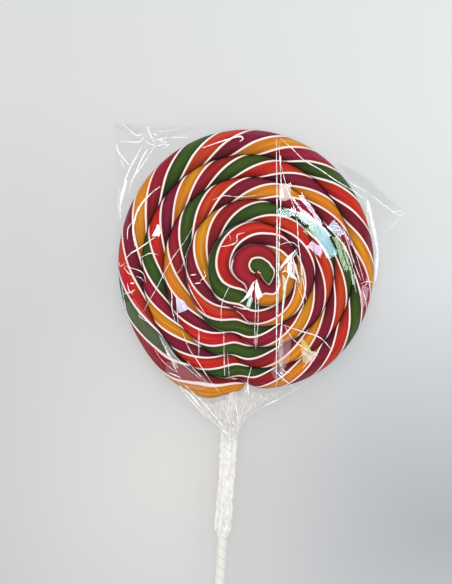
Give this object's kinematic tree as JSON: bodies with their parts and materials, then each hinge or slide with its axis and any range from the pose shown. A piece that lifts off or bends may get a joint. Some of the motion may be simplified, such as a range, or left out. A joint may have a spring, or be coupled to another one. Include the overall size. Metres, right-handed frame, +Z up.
{
  "type": "swirl lollipop",
  "caption": "Large flat swirl lollipop: a coiled rope of striped hard candy on a stick, in a clear film bag gathered at the neck.",
  "frame": {"origin": "on the flat underside of the bag, below the stick's axis and level with the middle of the candy head", "axes": "+Z up out of the shown face, +Y along the stick from its free end to the head, +X to the right as seen from above"},
  "size_m": [0.148, 0.2794, 0.0154],
  "materials": {
    "candy": "glossy pulled sugar in five striped colours",
    "stick": "white rolled paper",
    "wrapper": "clear crinkled cellophane film"
  },
  "bodies": {
    "root": {"candy": "candy", "stick": "stick", "wrapper": "wrapper"}
  },
  "joints": []
}
